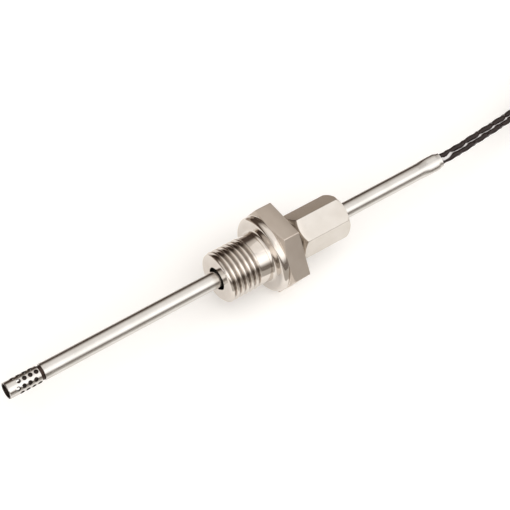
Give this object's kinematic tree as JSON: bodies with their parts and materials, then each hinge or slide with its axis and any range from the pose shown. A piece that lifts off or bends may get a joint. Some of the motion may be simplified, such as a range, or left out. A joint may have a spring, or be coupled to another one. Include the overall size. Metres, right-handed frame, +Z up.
{
  "type": "sheathed thermocouple with compression gland",
  "caption": "Straight steel thermocouple probe with a perforated measuring tip, a sliding hexagonal screw-in compression gland and a black two-core lead with ring terminals.",
  "frame": {"origin": "on the ground plane under the middle of the probe, which lies on a flat of its gland's hexagon", "axes": "+X along the probe from the measuring tip to the lead, +Z up"},
  "size_m": [0.3103, 0.0282, 0.021],
  "materials": {
    "sheath_steel": "polished",
    "gland_steel": "polished, machined",
    "nut_steel": "polished, machined",
    "ferrule_steel": "machined",
    "cement": "rough",
    "ceramic": "matt",
    "thermo_alloy": "drawn wire, oxidised at the bead",
    "tinned_copper": "tinned",
    "glass_fibre": "woven",
    "lead_black": "glossy",
    "tie_nylon": "satin",
    "boot_rubber": "satin shrink tube",
    "terminal_tin": "tin plated",
    "sleeve_green": "satin",
    "sleeve_white": "satin"
  },
  "bodies": {
    "probe": {"breakout_boot": "boot_rubber", "ceramic_insulator_1": "ceramic", "ceramic_insulator_2": "ceramic", "ceramic_insulator_3": "ceramic", "ceramic_insulator_4": "ceramic", "ceramic_insulator_5": "ceramic", "ceramic_insulator_6": "ceramic", "end_lead_negative": "lead_black", "end_lead_positive": "lead_black", "hank_tie": "tie_nylon", "lead_cable": "lead_black", "lead_cable_hank": "lead_black", "lead_cable_tail": "lead_black", "lead_core_negative": "tinned_copper", "lead_core_positive": "tinned_copper", "lead_insulation_negative": "lead_black", "lead_insulation_positive": "lead_black", "measuring_bead": "thermo_alloy", "perforated_tip": "sheath_steel", "ring_terminal_negative": "terminal_tin", "ring_terminal_positive": "terminal_tin", "sheath_tube": "sheath_steel", "splice_barrel_negative": "tinned_copper", "splice_barrel_positive": "tinned_copper", "splice_sleeve_negative": "glass_fibre", "splice_sleeve_positive": "glass_fibre", "terminal_sleeve_negative": "sleeve_white", "terminal_sleeve_positive": "sleeve_green", "thermo_wire_negative": "thermo_alloy", "thermo_wire_positive": "thermo_alloy", "tip_cement": "cement"},
    "front_ferrule_ring": {"front_ferrule": "ferrule_steel"},
    "gland": {"gland_body": "gland_steel"},
    "back_ferrule_ring": {"back_ferrule": "ferrule_steel"},
    "nut": {"gland_nut": "nut_steel"}
  },
  "joints": [
    {"name": "gland_slide", "type": "slide", "parent": "probe", "child": "front_ferrule_ring", "axis": [1, 0, 0], "range_m": [-0.045, 0.022]},
    {"name": "gland_turn", "type": "hinge", "parent": "front_ferrule_ring", "child": "gland", "pos_m": [0.01375, 0, 0.0105], "axis": [1, 0, 0], "continuous": true},
    {"name": "nut_advance", "type": "slide", "parent": "gland", "child": "back_ferrule_ring", "axis": [1, 0, 0], "range_m": [0, 0.005]},
    {"name": "nut_turn", "type": "hinge", "parent": "back_ferrule_ring", "child": "nut", "pos_m": [0.02575, 0, 0.0105], "axis": [1, 0, 0], "range_deg": [0, 1800]}
  ],
  "couplings": [
    {"joint": "nut_advance", "follows": "nut_turn", "m_per_rad": 0.00015915}
  ]
}
